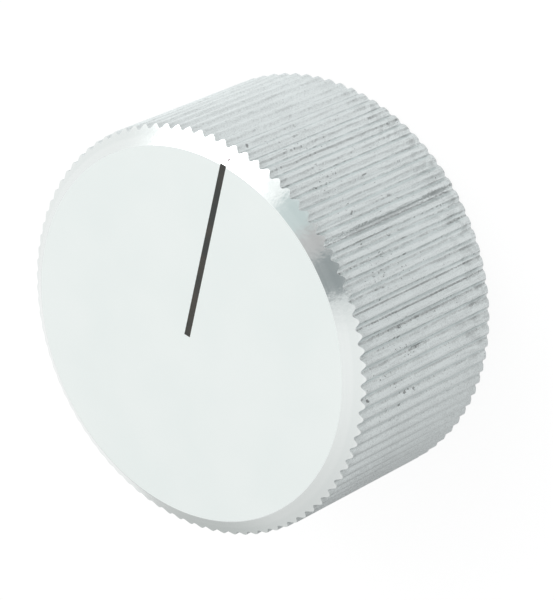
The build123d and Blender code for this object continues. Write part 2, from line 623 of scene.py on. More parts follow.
# %% Lines along the teeth
def tooth_line_group():
    """A thin line along each tooth, with its own chance for each tooth.

    Line is the dark line itself, Beads are short dark dashes on it, Rear darkens it near the rear end, and
    Painted Highlight is a painted highlight, a thin bright line beside it.
    """
    sheet, given, result = new_group("tooth_line", "ShaderNodeTree", [
        ("Across", "NodeSocketFloat", 0.0),
        ("Tooth", "NodeSocketFloat", 0.0),
        ("Height", "NodeSocketFloat", 0.0),
        ("Centre", "NodeSocketFloat", 0.0),
        ("Width", "NodeSocketFloat", 0.1),
        ("Weakest", "NodeSocketFloat", 0.3),
        ("Seed", "NodeSocketFloat", 0.0),
    ], [
        ("Line", "NodeSocketFloat"),
        ("Beads", "NodeSocketFloat"),
        ("Rear", "NodeSocketFloat"),
        ("Lit", "NodeSocketFloat"),
    ])
    height, width = given["Height"], given["Width"]
    lane = sheet.total(sheet.product(given["Tooth"], 7.31), given["Seed"])

    def lane_noise(per_mm, row, detail):
        """Noise along the tooth, which differs from lane to lane."""
        place = sheet.join(lane, sheet.product(height, per_mm), row)
        return sheet.node("ShaderNodeTexNoise", Vector=place, Scale=1.0, Detail=detail).outputs[0]

    # How far a point is from the line, as a share of a tooth. The line wanders a little.
    drift = sheet.product(sheet.minus(lane_noise(0.5, 0.5, 2.0), 0.5), 0.16)
    offset = sheet.minus(sheet.minus(given["Across"], given["Centre"]), drift)
    offset = sheet.math("WRAP", offset, 0.5, -0.5)
    away = sheet.math("ABSOLUTE", offset)
    chance = sheet.node("ShaderNodeTexWhiteNoise", {"noise_dimensions": "1D"}, W=lane).outputs[0]
    strength = sheet.ramp(chance, 0.0, 1.0, given["Weakest"], 1.0)

    broken = sheet.ramp(lane_noise(1.1, 3.7, 3.0), 0.36, 0.58, 0.4, 1.0)
    thin = sheet.ramp(away, width, sheet.product(width, 0.15))
    sheet.plug(result["Line"], sheet.product(thin, broken, strength))

    dashes = sheet.ramp(lane_noise(3.4, 8.1, 2.0), 0.53, 0.62)
    groups_of_dashes = sheet.ramp(lane_noise(0.4, 5.9, 1.0), 0.48, 0.62)
    thinner = sheet.ramp(away, sheet.product(width, 0.75), 0.02)
    sheet.plug(result["Beads"], sheet.product(thinner, dashes, groups_of_dashes, strength))

    # Darker near the rear end, on some lanes only
    rear_chance = sheet.ramp(lane_noise(0.9, 12.3, 1.0), 0.45, 0.66)
    rear_end = sheet.product(sheet.ramp(height, 4.0, 2.4), sheet.ramp(height, 0.3, 0.9))
    wide = sheet.ramp(away, sheet.product(width, 2.0), 0.0)
    sheet.plug(result["Rear"], sheet.product(wide, rear_end, rear_chance))

    # A painted highlight: a thin bright line beside the dark one
    beside = sheet.math("ABSOLUTE", sheet.minus(offset, sheet.product(width, 0.95)))
    sheet.plug(result["Lit"], sheet.product(sheet.ramp(beside, sheet.product(width, 0.7), 0.0), broken))
    return sheet.tree


tooth_line = tooth_line_group()
report(tooth_line)

# %% Streaks and specks
def rim_wear_group():
    """Streaks along the teeth and clusters of specks, from the wheel and from use, and dark blotches that
    gather towards the rear.
    """
    sheet, given, result = new_group("rim_wear", "ShaderNodeTree", [
        ("Streaks per mm", "NodeSocketFloat", 4.5),
        ("Specks per mm", "NodeSocketFloat", 4.6),
        ("Specks", "NodeSocketFloat", 0.5),
    ], [
        ("Streaks", "NodeSocketFloat"),
        ("Specks", "NodeSocketFloat"),
        ("Smudges", "NodeSocketFloat"),
    ])
    place = in_millimetres(sheet)
    x, y, z = sheet.split(place)

    # Noise that is stretched along the teeth makes streaks
    long_way = sheet.join(x, y, sheet.product(z, 0.07))
    streaks = sheet.node("ShaderNodeTexNoise", Vector=long_way, Scale=given["Streaks per mm"], Detail=2.0,
                         Roughness=0.6).outputs[0]

    # Specks are the peaks of a fine noise, let through in some patches, and most in front of the middle
    short_way = sheet.join(x, y, sheet.product(z, 0.6))
    specks = sheet.node("ShaderNodeTexNoise", Vector=short_way, Scale=given["Specks per mm"], Detail=2.0,
                        Roughness=0.6).outputs[0]
    patches = sheet.node("ShaderNodeTexNoise", Vector=short_way, Scale=0.45, Detail=2.0).outputs[0]
    spared = sheet.minus(1.0, sheet.product(sheet.ramp(patches, 0.48, 0.68), given["Specks"]))
    band = sheet.ramp(sheet.math("ABSOLUTE", sheet.minus(z, 12.6)), 4.5, 0.8)
    least = sheet.total(0.645, sheet.product(spared, 0.085), sheet.product(band, -0.045))
    specks = sheet.ramp(sheet.minus(specks, least), 0.0, 0.035)

    # Dark blotches lie near the rear edge
    blotches = sheet.node("ShaderNodeTexNoise", Vector=place, Scale=1.1, Detail=2.0, Roughness=0.6).outputs[0]
    blotches = sheet.product(sheet.ramp(blotches, 0.45, 0.66), sheet.ramp(z, 6.5, 1.0))

    sheet.plug(result["Streaks"], streaks)
    sheet.plug(result["Specks"], specks)
    sheet.plug(result["Smudges"], blotches)
    return sheet.tree


rim_wear = rim_wear_group()
report(rim_wear)

# %% One mark in a chosen place
def mark_group():
    """A ragged mark at one angle and height of the rim, over those already there. Sizes are in mm."""
    sheet, given, result = new_group("mark", "ShaderNodeTree", [
        ("Arc", "NodeSocketFloat", 0.0),
        ("Height", "NodeSocketFloat", 0.0),
        ("Ragged", "NodeSocketFloat", 0.0),
        ("Angle", "NodeSocketFloat", 0.0),
        ("Middle", "NodeSocketFloat", 0.0),
        ("Half Length", "NodeSocketFloat", 0.3),
        ("Half Width", "NodeSocketFloat", 0.1),
        ("Strength", "NodeSocketFloat", 1.0),
        ("Marks Below", "NodeSocketFloat", 0.0),
    ], [
        ("Mask", "NodeSocketFloat"),
    ])
    middle_arc = sheet.product(given["Angle"], radians(1) * knob_radius / mm)
    across = sheet.over(sheet.minus(given["Arc"], middle_arc), given["Half Width"])
    along = sheet.over(sheet.minus(given["Height"], given["Middle"]), given["Half Length"])
    away = sheet.node("ShaderNodeVectorMath", {"operation": "LENGTH"}, Vector=sheet.join(across, along, 0.0))
    away = sheet.total(away.outputs["Value"], given["Ragged"])
    this_mark = sheet.product(sheet.ramp(away, 1.1, 0.5), given["Strength"])
    sheet.plug(result["Mask"], sheet.larger(this_mark, given["Marks Below"]))
    return sheet.tree


def ragged_edge(sheet):
    """Noise that frays the outline of a mark."""
    x, y, z = sheet.split(in_millimetres(sheet))
    place = sheet.join(x, y, sheet.product(z, 0.55))
    noise = sheet.node("ShaderNodeTexNoise", Vector=place, Scale=8.0, Detail=2.0, Roughness=0.6).outputs[0]
    return sheet.product(sheet.minus(noise, 0.5), 2.4)


mark = mark_group()
report(mark)

# %% [markdown]
# ## Metals and paint
#
# All the metal is one alloy. Its colour in a material is what it reflects, and roughness decides how
# sharply. The face is satin, so it shows one even tone. The chamfer was cut last with a sharp tool, so it
# mirrors the studio in broad soft patches. The rim is duller, because the knurl squeezes the metal and
# grime stays in it.

# %% Helpers for a material
def new_material(name, metallic=1.0):
    """A material with its sheet and its Principled shader."""
    material = bpy.data.materials.new(name)
    material.use_nodes = True
    shader = next(node for node in material.node_tree.nodes if node.type == "BSDF_PRINCIPLED")
    shader.inputs["Metallic"].default_value = metallic
    return material, Sheet(material.node_tree), shader


def mix_colours(sheet, share, first, second):
    """A colour between two others."""
    made = sheet.node("ShaderNodeMix", {"data_type": "RGBA"})
    sheet.plug(made.inputs["Factor"], share)
    colours = [socket for socket in made.inputs if socket.type == "RGBA"]
    sheet.plug(colours[0], first)
    sheet.plug(colours[1], second)
    return next(socket for socket in made.outputs if socket.type == "RGBA")


def finish(sheet, shader, colour, roughness, height, depth):
    """Plugs a finish into the shader. Depth is how high the relief stands where height is 1, in metres."""
    tilted = sheet.node("ShaderNodeBump", Strength=1.0, Distance=depth, Height=height).outputs[0]
    for name, value in (("Base Color", colour), ("Roughness", roughness), ("Normal", tilted)):
        sheet.plug(shader.inputs[name], value)


# %% Satin face
def satin_face():
    material, sheet, shader = new_material("satin_face")
    grains = sheet.group(grain, Grains_per_mm=9.0, Patch_per_mm=0.12)
    rings = sheet.group(lathe_marks, Rings_per_mm=3.0)
    tone = sheet.ramp(grains["Patches"], 0.3, 0.7)
    colour = mix_colours(sheet, tone, (0.86, 0.913, 0.898, 1), (0.884, 0.93, 0.915, 1))
    roughness = sheet.ramp(grains["Height"], 0.2, 0.8, 0.34, 0.42)
    height = sheet.total(grains["Height"], sheet.product(rings["Height"], 0.5))
    finish(sheet, shader, colour, roughness, height, 0.0006 * mm)
    return material


face_metal = satin_face()
report(face_metal)

# %% Bright-turned chamfer
def bright_chamfer():
    material, sheet, shader = new_material("bright_chamfer")
    rings = sheet.group(lathe_marks, Rings_per_mm=16.0, Unevenness=0.8)
    tone = sheet.ramp(rings["Streaks"], 0.3, 0.7)
    turned = mix_colours(sheet, tone, (0.82, 0.86, 0.85, 1), (0.86, 0.895, 0.885, 1))

    # A small nick beside the pointer's outer end
    on_rim = sheet.group(rim_place)
    nick = sheet.group(mark, Arc=on_rim["Arc"], Height=on_rim["Height"], Ragged=ragged_edge(sheet),
                       Angle=89.4, Middle=knob_length / mm - 0.42, Half_Length=0.11, Half_Width=0.17)
    colour = mix_colours(sheet, nick["Mask"], turned, (0.22, 0.19, 0.2, 1))
    roughness = sheet.ramp(rings["Height"], 0.3, 0.7, 0.09, 0.14)

    # Fine chatter from the tool breaks up the edges of what it mirrors
    chatter = sheet.group(grain, Grains_per_mm=2.6, Patch_per_mm=0.5)
    height = sheet.total(sheet.product(rings["Height"], 0.15), chatter["Height"])
    finish(sheet, shader, colour, roughness, height, 0.008 * mm)
    return material


chamfer_metal = bright_chamfer()
report(chamfer_metal)

# %% [markdown]
# The rim isn't clean, and the photo shows its marks sharply. Most are the same on every tooth: a dark
# line where each groove keeps its dirt, and another along the edge of the crest's burnished land. Those
# follow a rule, with chance in their strength. A few marks catch the eye, such as the two dark streaks
# along the split crest. They are chosen and written down one by one, each with an angle and a height.

# %% Marks in chosen places
crest_line = -0.2  # where the land's lower edge lies, as a share of a tooth from the crest
root_line = 0.44
fullest_marks_angle = 47  # the middle of the sector with most marks, in degrees

# Angle in degrees, then height, half length and half width in mm, then strength
rim_marks = [
    (52.7, 10.5, 10.0, 0.08, 0.6),  # the split crest
    (53.6, 8.5, 10.0, 0.09, 0.65),
    (53.2, 11.0, 8.0, 0.26, 0.35),
    (53.7, 2.4, 2.4, 0.24, 0.6),
    (29.0, 9.5, 11.0, 0.08, 0.65),  # the darkest grooves
    (25.3, 9.5, 10.5, 0.11, 0.4),
    (33.0, 9.0, 10.0, 0.06, 0.5),
    (77.5, 8.0, 8.0, 0.08, 0.25),
    (66.0, 9.2, 0.4, 0.06, 0.9),  # short dashes
    (46.3, 9.2, 0.4, 0.06, 0.8),
    (17.7, 10.4, 1.2, 0.08, 0.8),
    (50.2, 13.5, 4.0, 0.05, 0.6),
    (25.2, 10.1, 0.7, 0.09, 0.8),
    (24.8, 12.8, 0.3, 0.07, 0.9),
    (85.4, 11.8, 0.4, 0.09, 0.5),
    (74.2, 13.2, 0.25, 0.08, 0.6),
    (89.0, 16.9, 0.17, 0.16, 0.9),  # pits
    (81.5, 13.3, 0.12, 0.12, 0.7),
    (81.3, 12.4, 0.12, 0.1, 0.6),
    (69.6, 11.9, 0.1, 0.08, 0.7),
    (57.9, 13.4, 0.18, 0.14, 0.8),
    (58.1, 8.1, 0.4, 0.12, 0.6),
    (49.3, 14.1, 0.13, 0.1, 0.8),
    (48.4, 10.4, 0.25, 0.07, 0.8),
    (34.0, 14.6, 0.13, 0.1, 0.9),
    (36.6, 13.6, 0.25, 0.07, 0.6),
    (23.0, 13.9, 0.2, 0.1, 0.8),
    (22.6, 13.2, 0.3, 0.12, 1.0),
    (8.8, 17.6, 0.2, 0.14, 1.0),
    (5.7, 12.6, 0.13, 0.1, 0.8),
    (5.3, 12.0, 0.2, 0.11, 0.9),
    (5.6, 11.4, 0.13, 0.1, 0.7),
    (5.2, 10.7, 0.22, 0.12, 0.8),
    (1.8, 12.4, 0.2, 0.13, 0.9),
    (2.0, 14.2, 0.12, 0.08, 0.5),
    (21.3, 2.2, 0.6, 0.17, 0.4),  # smudges
    (13.2, 2.4, 0.9, 0.2, 0.25),
    (97.0, 8.5, 1.6, 0.1, 0.2),
    (105.0, 7.0, 1.8, 0.1, 0.18),
    (85.4, 2.6, 0.9, 0.15, 0.2),
]


def darkest_mark(sheet, arc, height):
    """The strongest of all the chosen marks at a point."""
    ragged = ragged_edge(sheet)
    strongest = 0.0
    for angle, middle, half_length, half_width, strength in rim_marks:
        placed = sheet.group(mark, Arc=arc, Height=height, Ragged=ragged, Angle=angle, Middle=middle,
                             Half_Length=half_length, Half_Width=half_width, Strength=strength,
                             Marks_Below=strongest)
        strongest = placed["Mask"]
    return strongest


print("marks chosen:", len(rim_marks))


# %% Factors for the rim's shade
def lighter_or_darker(sheet, value, amount):
    """Turns noise round 0.5 into a factor round 1."""
    return sheet.total(1.0 - amount / 2, sheet.product(value, amount))


def darkened(sheet, mask, amount):
    """A factor that is 1 where the mask is 0, and this much less where it is 1."""
    return sheet.minus(1.0, sheet.product(mask, amount))


def marks_strength_by_side(sheet):
    """How much the marks count: in full in one sector, less beside it, and more again opposite. Their fading
    on the lamp's side is painted light, standing in for light that washes them out.
    """
    x, y, z = sheet.split(in_millimetres(sheet))
    facing = sheet.total(
        sheet.product(x, cos(radians(fullest_marks_angle)) * mm / knob_radius),
        sheet.product(y, sin(radians(fullest_marks_angle)) * mm / knob_radius),
    )
    return sheet.total(sheet.ramp(facing, 0.60, 0.86, 0.28, 1.0), sheet.ramp(facing, -0.1, -0.7, 0.0, 0.45))


# %% Knurled rim
def knurled_rim():
    material, sheet, shader = new_material("knurled_rim")
    groove = sheet.node("ShaderNodeAttribute", {"attribute_name": "groove"}).outputs["Fac"]
    grains = sheet.group(grain, Grains_per_mm=8.0, Patch_per_mm=0.25)
    wear = sheet.group(rim_wear, Specks=0.8)
    # How much the marks count round the rim; their fading on the lamp's side is painted light
    side_strength = marks_strength_by_side(sheet)
    on_rim = sheet.group(rim_place)
    where = {name: on_rim[name] for name in ("Across", "Tooth", "Height")}
    crest_edge = sheet.group(tooth_line, **where, Centre=crest_line, Width=0.11, Weakest=0.5, Seed=1.0)
    root = sheet.group(tooth_line, **where, Centre=root_line, Width=0.13, Weakest=0.5, Seed=5.0)
    chosen = darkest_mark(sheet, on_rim["Arc"], on_rim["Height"])

    # The rim's front end, where the chamfer cut through the teeth, is darkened with painted shade
    front_end = sheet.total(chamfer_foot / mm, sheet.product(groove, knurl_depth * slope / mm))
    to_front = sheet.minus(front_end, on_rim["Height"])
    front_painted_shade = sheet.product(sheet.ramp(to_front, 1.6, 0.1), sheet.ramp(wear["Streaks"], 0.35, 0.65))

    rear_darkening = sheet.larger(crest_edge["Rear"], root["Rear"])
    # Painted highlights beside the lines
    lit = sheet.total(crest_edge["Lit"], root["Lit"])
    shade = sheet.product(
        0.94,
        lighter_or_darker(sheet, grains["Patches"], 0.12),
        lighter_or_darker(sheet, grains["Height"], 0.75),
        sheet.total(1.0, sheet.product(sheet.minus(wear["Streaks"], 0.5), side_strength, 0.6)),
        sheet.total(1.0, sheet.product(lit, side_strength, 0.1)),
        darkened(sheet, sheet.product(crest_edge["Line"], side_strength), 0.32),
        darkened(sheet, sheet.product(root["Line"], side_strength), 0.35),
        darkened(sheet, sheet.product(crest_edge["Beads"], side_strength), 0.5),
        darkened(sheet, sheet.product(root["Beads"], side_strength), 0.5),
        darkened(sheet, sheet.product(rear_darkening, side_strength), 0.22),
        darkened(sheet, sheet.product(wear["Specks"], side_strength), 0.62),
        darkened(sheet, sheet.product(wear["Smudges"], side_strength), 0.14),
        darkened(sheet, front_painted_shade, 0.2),
        darkened(sheet, chosen, 0.7),
    )
    shade = sheet.smaller(sheet.larger(shade, 0.0), 1.0)
    colour = mix_colours(sheet, shade, (0.05, 0.052, 0.055, 1), (0.89, 0.945, 0.945, 1))
    roughness = sheet.ramp(grains["Height"], 0.25, 0.75, 0.32, 0.45)
    lines = sheet.product(sheet.larger(crest_edge["Line"], root["Line"]), side_strength, 0.6)
    sunken = sheet.total(wear["Specks"], chosen, lines, crest_edge["Beads"], root["Beads"])
    height = sheet.minus(sheet.product(grains["Height"], 0.5), sunken)
    finish(sheet, shader, colour, roughness, height, 0.012 * mm)
    return material


rim_metal = knurled_rim()
report(rim_metal)

# %% [markdown]
# The remaining finishes are plain, because little of them is seen. The hidden rear, the recess and the
# holes are as the tool left them, so they show rings. The line's paint is nearly black and not quite
# even. The set screw is steel with a black oxide skin, which still shines a little.

# %% Machined inside
def machined_inside():
    material, sheet, shader = new_material("machined_inside")
    rings = sheet.group(lathe_marks, Rings_per_mm=5.0, Unevenness=0.6)
    tone = sheet.ramp(rings["Streaks"], 0.3, 0.7)
    colour = mix_colours(sheet, tone, (0.66, 0.70, 0.695, 1), (0.75, 0.78, 0.775, 1))
    roughness = sheet.ramp(rings["Height"], 0.3, 0.7, 0.24, 0.34)
    finish(sheet, shader, colour, roughness, rings["Height"], 0.004 * mm)
    return material


inside_metal = machined_inside()
report(inside_metal)

# %% Pointer paint
def pointer_paint():
    material, sheet, shader = new_material("black_line_paint", metallic=0.0)
    grains = sheet.group(grain, Grains_per_mm=6.0, Patch_per_mm=0.5)
    tone = sheet.ramp(grains["Patches"], 0.35, 0.65)
    colour = mix_colours(sheet, tone, (0.023, 0.027, 0.025, 1), (0.043, 0.038, 0.031, 1))
    roughness = sheet.ramp(grains["Height"], 0.3, 0.7, 0.5, 0.65)
    finish(sheet, shader, colour, roughness, grains["Height"], 0.006 * mm)
    return material


line_paint = pointer_paint()
report(line_paint)

# %% Oxide-black steel
def black_steel():
    material, sheet, shader = new_material("black_steel")
    grains = sheet.group(grain, Grains_per_mm=12.0, Patch_per_mm=1.0)
    tone = sheet.ramp(grains["Patches"], 0.35, 0.65)
    colour = mix_colours(sheet, tone, (0.09, 0.09, 0.10, 1), (0.14, 0.14, 0.15, 1))
    roughness = sheet.ramp(grains["Height"], 0.3, 0.7, 0.3, 0.42)
    finish(sheet, shader, colour, roughness, grains["Height"], 0.003 * mm)
    return material


screw_metal = black_steel()
report(screw_metal)

# %% [markdown]
# ## Making a tree into a piece
#
# A modifier runs a tree. Its inputs are set by the sockets' identifiers, and that has to happen before
# Blender evaluates the object for the first time. Then the result is taken as a plain mesh, and the
# modifier goes.

# %% Run a tree on an object
def run_tree(piece, tree, **values):
    """Runs a geometry tree on an object, keeps the result as a plain mesh, and removes the modifier."""
    modifier = piece.modifiers.new(tree.name, "NODES")
    modifier.node_group = tree
    for item in tree.interface.items_tree:
        if item.in_out == "INPUT" and item.name.replace(" ", "_") in values:
            modifier[item.identifier] = values[item.name.replace(" ", "_")]
    bpy.context.view_layer.update()
    depsgraph = bpy.context.evaluated_depsgraph_get()
    mesh = bpy.data.meshes.new_from_object(
        piece.evaluated_get(depsgraph), preserve_all_data_layers=True, depsgraph=depsgraph)
    piece.modifiers.remove(modifier)
    piece.data = mesh
    mesh.name = piece.name
    for used_up in ("turn", "kind", "outline_radius", "outline_height"):
        if used_up in mesh.attributes:
            mesh.attributes.remove(mesh.attributes[used_up])
    return piece


def triangle_count(mesh):
    return sum(len(polygon.vertices) - 2 for polygon in mesh.polygons)


# %% [markdown]
# ## The tap, as a cutter
#
# The set screw's hole is cut with a boolean, so we first make what is to be taken away: a threaded rod
# from the bore out past the rim, which widens at the mouth for the countersink. It uses the lathe and the
# thread groups, and is then laid down along -Y at the screw's height.

# %% Outline of the tap
screw_clearance = 0.04 * mm
hole_radius = screw_radius + screw_clearance
countersink = 0.5 * mm
tap_start = bore_radius - 1.0 * mm  # inside the bore, so that the hole is open there
tap_mouth = knob_radius - countersink
overrun = 1.0 * mm


def threaded_steps(radius, start, end):
    """Rows of points for a thread, from start to end along the screw."""
    rows = round(abs(end - start) / thread_pitch * thread_rows)
    return steps((radius, start), (radius, end), rows)


tap_thread = threaded_steps(hole_radius, tap_mouth, tap_start)
tap_points = [
    (0, knob_radius + overrun),
    (hole_radius + countersink + overrun, knob_radius + overrun),
    *tap_thread,
    (0, tap_start),
]
tap_kinds = [0, 0, *[1] * len(tap_thread), 0]
tap = outline_object("tap", tap_points, tap_kinds)
print("rows in the tap:", len(tap_points))


# %% Tree for a threaded piece
def lay_along_minus_y(sheet, mesh):
    """Lays a piece that was turned about Z along -Y, at the screw's height."""
    made = sheet.node("GeometryNodeTransform", Geometry=mesh)
    sheet.plug(made.inputs["Translation"], (0, 0, screw_height))
    sheet.plug(made.inputs["Rotation"], (radians(90), 0, 0))
    return made.outputs[0]


def close_poles(sheet, mesh):
    """Joins the points that lie on each other, at the poles."""
    return sheet.node("GeometryNodeMergeByDistance", Geometry=mesh, Distance=0.0005 * mm).outputs[0]


def smooth_shading(sheet, mesh, sharpest):
    """Shades smooth, apart from edges that bend by more than this many degrees."""
    angle = sheet.node("GeometryNodeInputMeshEdgeAngle").outputs[0]
    soft = sheet.below(angle, radians(sharpest))
    faces = sheet.node("GeometryNodeSetShadeSmooth", {"domain": "FACE"}, Geometry=mesh, Shade_Smooth=True)
    edges = sheet.node("GeometryNodeSetShadeSmooth", {"domain": "EDGE"}, Geometry=faces.outputs[0],
                       Shade_Smooth=soft)
    return edges.outputs[0]


def threaded_piece_tree(name, material, columns):
    """The tree for the tap and the set screw."""
    sheet, given, result = new_group(name, "GeometryNodeTree", [
        ("Outline", "NodeSocketGeometry", None),
        ("Columns", "NodeSocketInt", columns),
        ("Thread Pitch", "NodeSocketFloat", thread_pitch),
        ("Thread Depth", "NodeSocketFloat", thread_depth),
    ], [
        ("Mesh", "NodeSocketGeometry"),
    ])
    turned = sheet.group(lathe, Outline=given["Outline"], Columns=given["Columns"])
    cut = sheet.group(thread, Mesh=turned["Mesh"], Turn=turned["Turn"], Radius=turned["Radius"],
                      Height=turned["Height"], Pitch=given["Thread Pitch"], Depth=given["Thread Depth"])
    laid = lay_along_minus_y(sheet, close_poles(sheet, cut["Mesh"]))
    shaded = smooth_shading(sheet, laid, sharpest=50)
    real = sheet.node("GeometryNodeRealizeInstances", Geometry=shaded).outputs[0]
    painted = sheet.node("GeometryNodeSetMaterial", Geometry=real, Material=material).outputs[0]
    sheet.plug(result["Mesh"], painted)
    return sheet.tree


run_tree(tap, threaded_piece_tree("make_tap", inside_metal, 36))
print("tap:", triangle_count(tap.data), "triangles")

# %% [markdown]
# ## The knob
#
# Now the blank is turned and knurled, and the two cutters are taken away from it with Mesh Boolean: the
# tap for the screw's hole, and a thin bar for the pointer's groove. Last, each zone gets its finish. The
# zones are found by where a face lies and which way it looks: the rim looks outwards, the chamfer half
# up, and the face straight up.

# %% The zones of the knob
columns_per_tooth = 14
rim_steepness = 0.72  # what looks up or down by more than this, from 0 to 1, isn't the rim
face_end = face_radius - 1.2 * face_edge


def zones(sheet):
    """Masks for the rim, the chamfer and the face, from a face's place and direction."""
    x, y, z = sheet.split(sheet.node("GeometryNodeInputPosition").outputs[0])
    up = sheet.split(sheet.node("GeometryNodeInputNormal").outputs[0])[2]
    radius = sheet.length(x, y)
    outer = sheet.above(radius, face_radius)
    level = sheet.math("ABSOLUTE", up)
    from_screw = sheet.length(x, sheet.minus(z, screw_height))
    in_hole = sheet.product(
        sheet.below(from_screw, hole_radius + countersink + hair),
        sheet.below(y, 0.0),
    )
    rim = sheet.product(outer, sheet.below(level, rim_steepness), sheet.minus(1.0, in_hole))
    chamfer = sheet.product(sheet.above(radius, face_end), sheet.above(up, rim_steepness))
    face = sheet.product(
        sheet.below(radius, face_end),
        sheet.above(z, knob_length - 2 * pointer_depth),
    )
    return rim, chamfer, face


# %% Tree for the knob
def knob_tree():
    """Turned, knurled, tapped and grooved."""
    sheet, given, result = new_group("make_knob", "GeometryNodeTree", [
        ("Outline", "NodeSocketGeometry", None),
        ("Teeth", "NodeSocketInt", tooth_count),
        ("Columns per Tooth", "NodeSocketInt", columns_per_tooth),
        ("Knurl Depth", "NodeSocketFloat", knurl_depth),
        ("Tap", "NodeSocketObject", None),
        ("Groove Cutter", "NodeSocketObject", None),
        ("Seed", "NodeSocketInt", 4),
    ], [
        ("Mesh", "NodeSocketGeometry"),
    ])
    columns = sheet.product(given["Teeth"], given["Columns per Tooth"])
    turned = sheet.group(lathe, Outline=given["Outline"], Columns=columns)
    pressed = sheet.group(knurl, Mesh=turned["Mesh"], Turn=turned["Turn"], Radius=turned["Radius"],
                          Height=turned["Height"], Teeth=given["Teeth"], Depth=given["Knurl Depth"],
                          Seed=given["Seed"])
    mesh = close_poles(sheet, pressed["Mesh"])
    for cutter in ("Tap", "Groove Cutter"):
        cut_with = sheet.node("GeometryNodeObjectInfo", {"transform_space": "RELATIVE"}, Object=given[cutter])
        boolean = sheet.node("GeometryNodeMeshBoolean", {"operation": "DIFFERENCE", "solver": "MANIFOLD"})
        sheet.plug(boolean.inputs["Mesh 1"], mesh)
        sheet.plug(boolean.inputs["Mesh 2"], cut_with.outputs["Geometry"])
        mesh = boolean.outputs["Mesh"]
    shaded = smooth_shading(sheet, mesh, sharpest=40)
    real = sheet.node("GeometryNodeRealizeInstances", Geometry=shaded).outputs[0]
    painted = sheet.node("GeometryNodeSetMaterial", Geometry=real, Material=inside_metal).outputs[0]
    for mask, metal in zip(zones(sheet), (rim_metal, chamfer_metal, face_metal)):
        made = sheet.node("GeometryNodeSetMaterial", Geometry=painted, Selection=mask, Material=metal)
        painted = made.outputs[0]
    sheet.plug(result["Mesh"], painted)
    return sheet.tree


# %% The bar that cuts the pointer's groove
def box_object(name, low, high):
    """A plain box, as a cutter."""
    mesh = bpy.data.meshes.new(name)
    corners = [(x, y, z) for x in (low[0], high[0]) for y in (low[1], high[1]) for z in (low[2], high[2])]
    sides = [(0, 1, 3, 2), (4, 6, 7, 5), (0, 4, 5, 1), (2, 3, 7, 6), (0, 2, 6, 4), (1, 5, 7, 3)]
    mesh.from_pydata(corners, [], sides)
    made = bpy.data.objects.new(name, mesh)
    bpy.context.scene.collection.objects.link(made)
    return made


groove_cutter = box_object(
    "groove_cutter",
    (-pointer_width / 2, pointer_low.y, pointer_low.z),
    (pointer_width / 2, knob_radius + overrun, knob_length + overrun),
)

# %% Make the knob
knob = run_tree(blank_outline, knob_tree(), Tap=tap, Groove_Cutter=groove_cutter)
for cutter in (tap, groove_cutter):
    bpy.data.objects.remove(cutter)
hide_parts("knob_body")
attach(knob, "root")
print("turned_knob:", triangle_count(knob.data), "triangles")
print("its finishes:", sorted({metal.name for metal in knob.data.materials if metal}))

# %% [markdown]
# ## The set screw
#
# The screw hides in its hole and is seen from behind only, with its socket towards the rim. It has what a
# real M3 set screw has: a cup point that bites the shaft, a thread, a bevelled end and a socket for a 1.5
# mm hexagon key.

# %% The set screw
screw_length = screw_end - screw_tip
cup_radius, cup_depth = 0.7 * mm, 0.4 * mm
screw_edge = 0.3 * mm
socket_radius = 0.75 * mm  # to the middle of a side
socket_depth = 2.0 * mm
socket_point = 0.4 * mm  # how far the drill's point goes below the hexagon

thread_start = screw_tip + screw_radius - cup_radius
screw_thread = threaded_steps(screw_radius, screw_end - screw_edge, thread_start)
screw_points = [
    (0, screw_end - socket_depth - socket_point),
    (socket_radius, screw_end - socket_depth),
    (socket_radius, screw_end),
    (screw_radius - screw_edge, screw_end),
    *screw_thread,
    (cup_radius, screw_tip),
    (0, screw_tip + cup_depth),
]
screw_kinds = [0, 2, 2, 0, *[1] * len(screw_thread), 0, 0]
grub_screw = outline_object("threaded_set_screw", screw_points, screw_kinds)
run_tree(grub_screw, threaded_piece_tree("make_set_screw", screw_metal, 48))
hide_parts("set_screw")
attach(grub_screw, "root")
print("threaded_set_screw:", triangle_count(grub_screw.data), "triangles,", round(screw_length / mm, 2), "mm")

# %% [markdown]
# ## The pointer line
#
# The CAD model already has the paint in its groove, a hair below the face, and its shape is right. So it
# stays, and only gets its paint.

# %% Paint the CAD pointer line
pointer_line = frame["nodes"]["pointer_line"]
pointer_line.data.materials.clear()
pointer_line.data.materials.append(line_paint)
print("pointer_line:", triangle_count(pointer_line.data), "triangles")

# %% [markdown]
# ## The studio
#
# Metal shows what stands round it, so the studio is part of the look. The knob stands in a white tent,
# with a large soft lamp on the pointer's side. The tent's walls are even, apart from a dimmer side away
# from the lamp, a dimmer patch low on the camera's side, a brighter wall round the lamp, and the dark
# opening that the camera looks through, with daylight round its edge. The tent is painted in the world's
# shader, by direction. The camera itself sees plain white.
#
# The floor is pale and catches a faint shadow. What the metal mirrors of it has light and shade painted on,
# brighter on the lamp's side and darker away from it. It is a ring, because the knob hides its middle, and
# from below it can be seen through. So light reaches the rear of the knob, and the rear can be looked at.

# %% Directions
def direction(azimuth, elevation):
    """A direction from the knob: azimuth from +X towards +Y, elevation from the horizon, in degrees."""
    a, e = radians(azimuth), radians(elevation)
    return Vector((cos(e) * cos(a), cos(e) * sin(a), sin(e)))


# %% The tent
wall_level = 0.95


def tent_patch(sheet, ray, azimuth, elevation, inner, outer):
    """1 within the inner angle of this direction, 0 beyond the outer one."""
    made = sheet.node("ShaderNodeVectorMath", {"operation": "DOT_PRODUCT"})
    sheet.plug(made.inputs[0], ray)
    made.inputs[1].default_value = direction(azimuth, elevation)
    away = sheet.math("ARCCOSINE", sheet.smaller(made.outputs["Value"], 1.0))
    return sheet.ramp(away, radians(outer), radians(inner))


